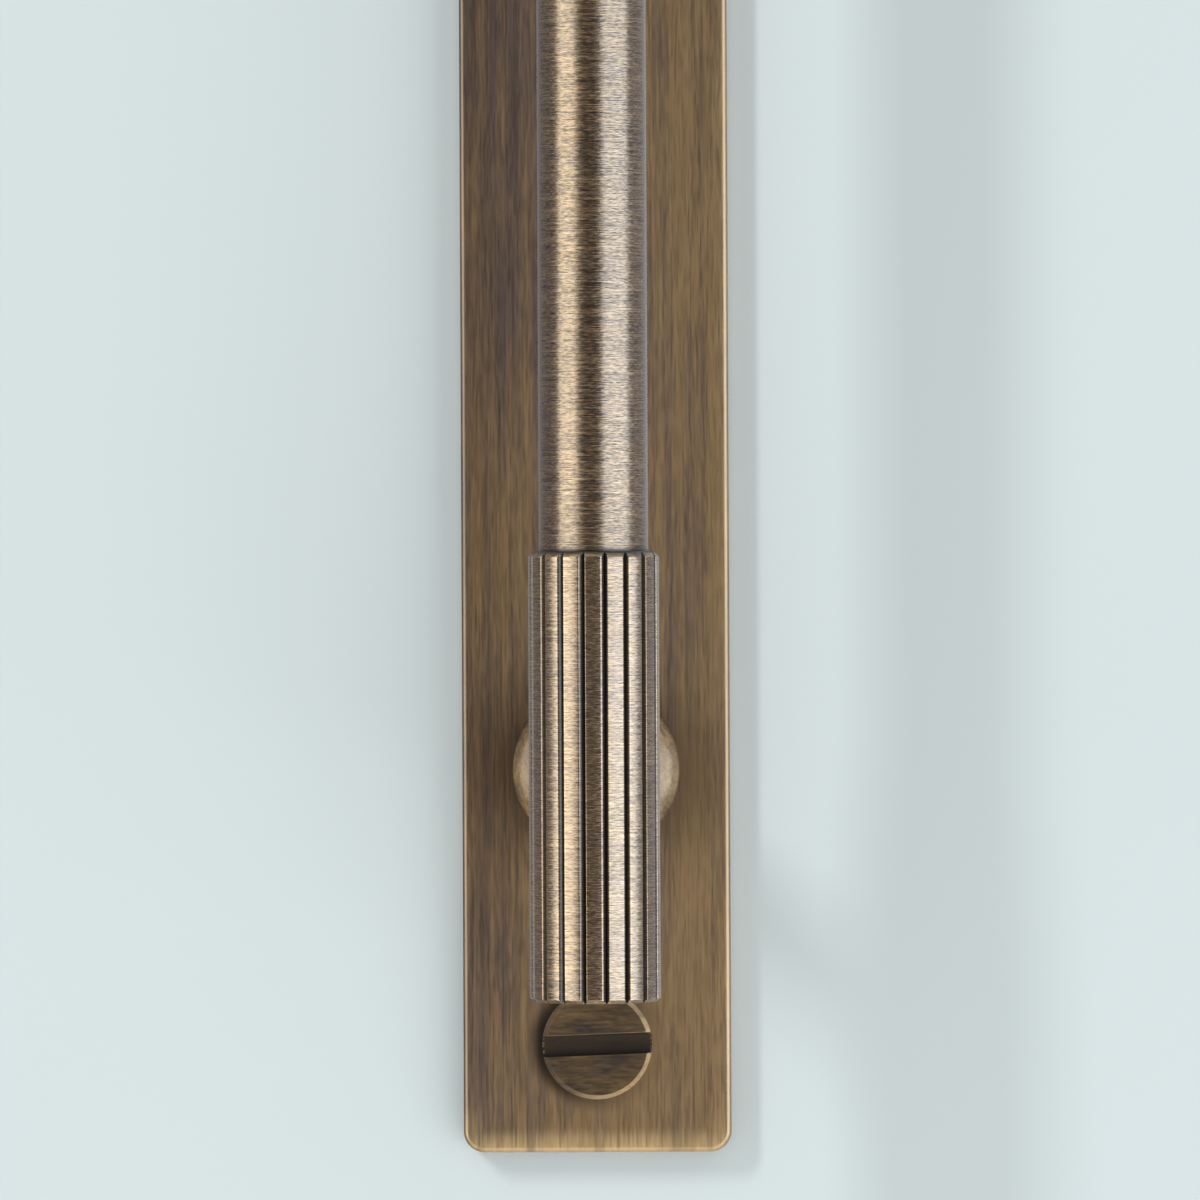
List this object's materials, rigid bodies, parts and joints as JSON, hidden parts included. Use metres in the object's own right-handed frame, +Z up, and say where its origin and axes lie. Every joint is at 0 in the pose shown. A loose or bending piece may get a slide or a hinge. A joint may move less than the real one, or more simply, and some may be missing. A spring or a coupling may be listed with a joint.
{
  "type": "cabinet bar handle with backplate",
  "caption": "Round cabinet bar handle with fluted end sleeves on turned posts, fixed to a long flat backplate with slotted face screws, in aged brushed brass.",
  "frame": {"origin": "centre of the backplate's back face, on the door's surface", "axes": "+Z up along the bar, +Y into the door (the front faces -Y), +X to the right seen from the front"},
  "size_m": [0.0254, 0.057, 0.2326],
  "materials": {
    "aged_brass_plate": "aged, brushed along its length, bright worn edges",
    "aged_brass_bar": "aged, finely brushed round its girth",
    "aged_brass_sleeve": "aged, finely brushed ridges, dark grooves",
    "aged_brass_post": "aged, turned",
    "plain_steel": "zinc plated",
    "aged_brass_screw": "aged, brushed along the slot, bright chamfered rim"
  },
  "bodies": {
    "root": {"backplate": "aged_brass_plate", "bar": "aged_brass_bar", "lower_sleeve": "aged_brass_sleeve", "upper_sleeve": "aged_brass_sleeve", "lower_post": "aged_brass_post", "upper_post": "aged_brass_post", "post_screws": "plain_steel", "face_screws": "aged_brass_screw"}
  },
  "joints": []
}
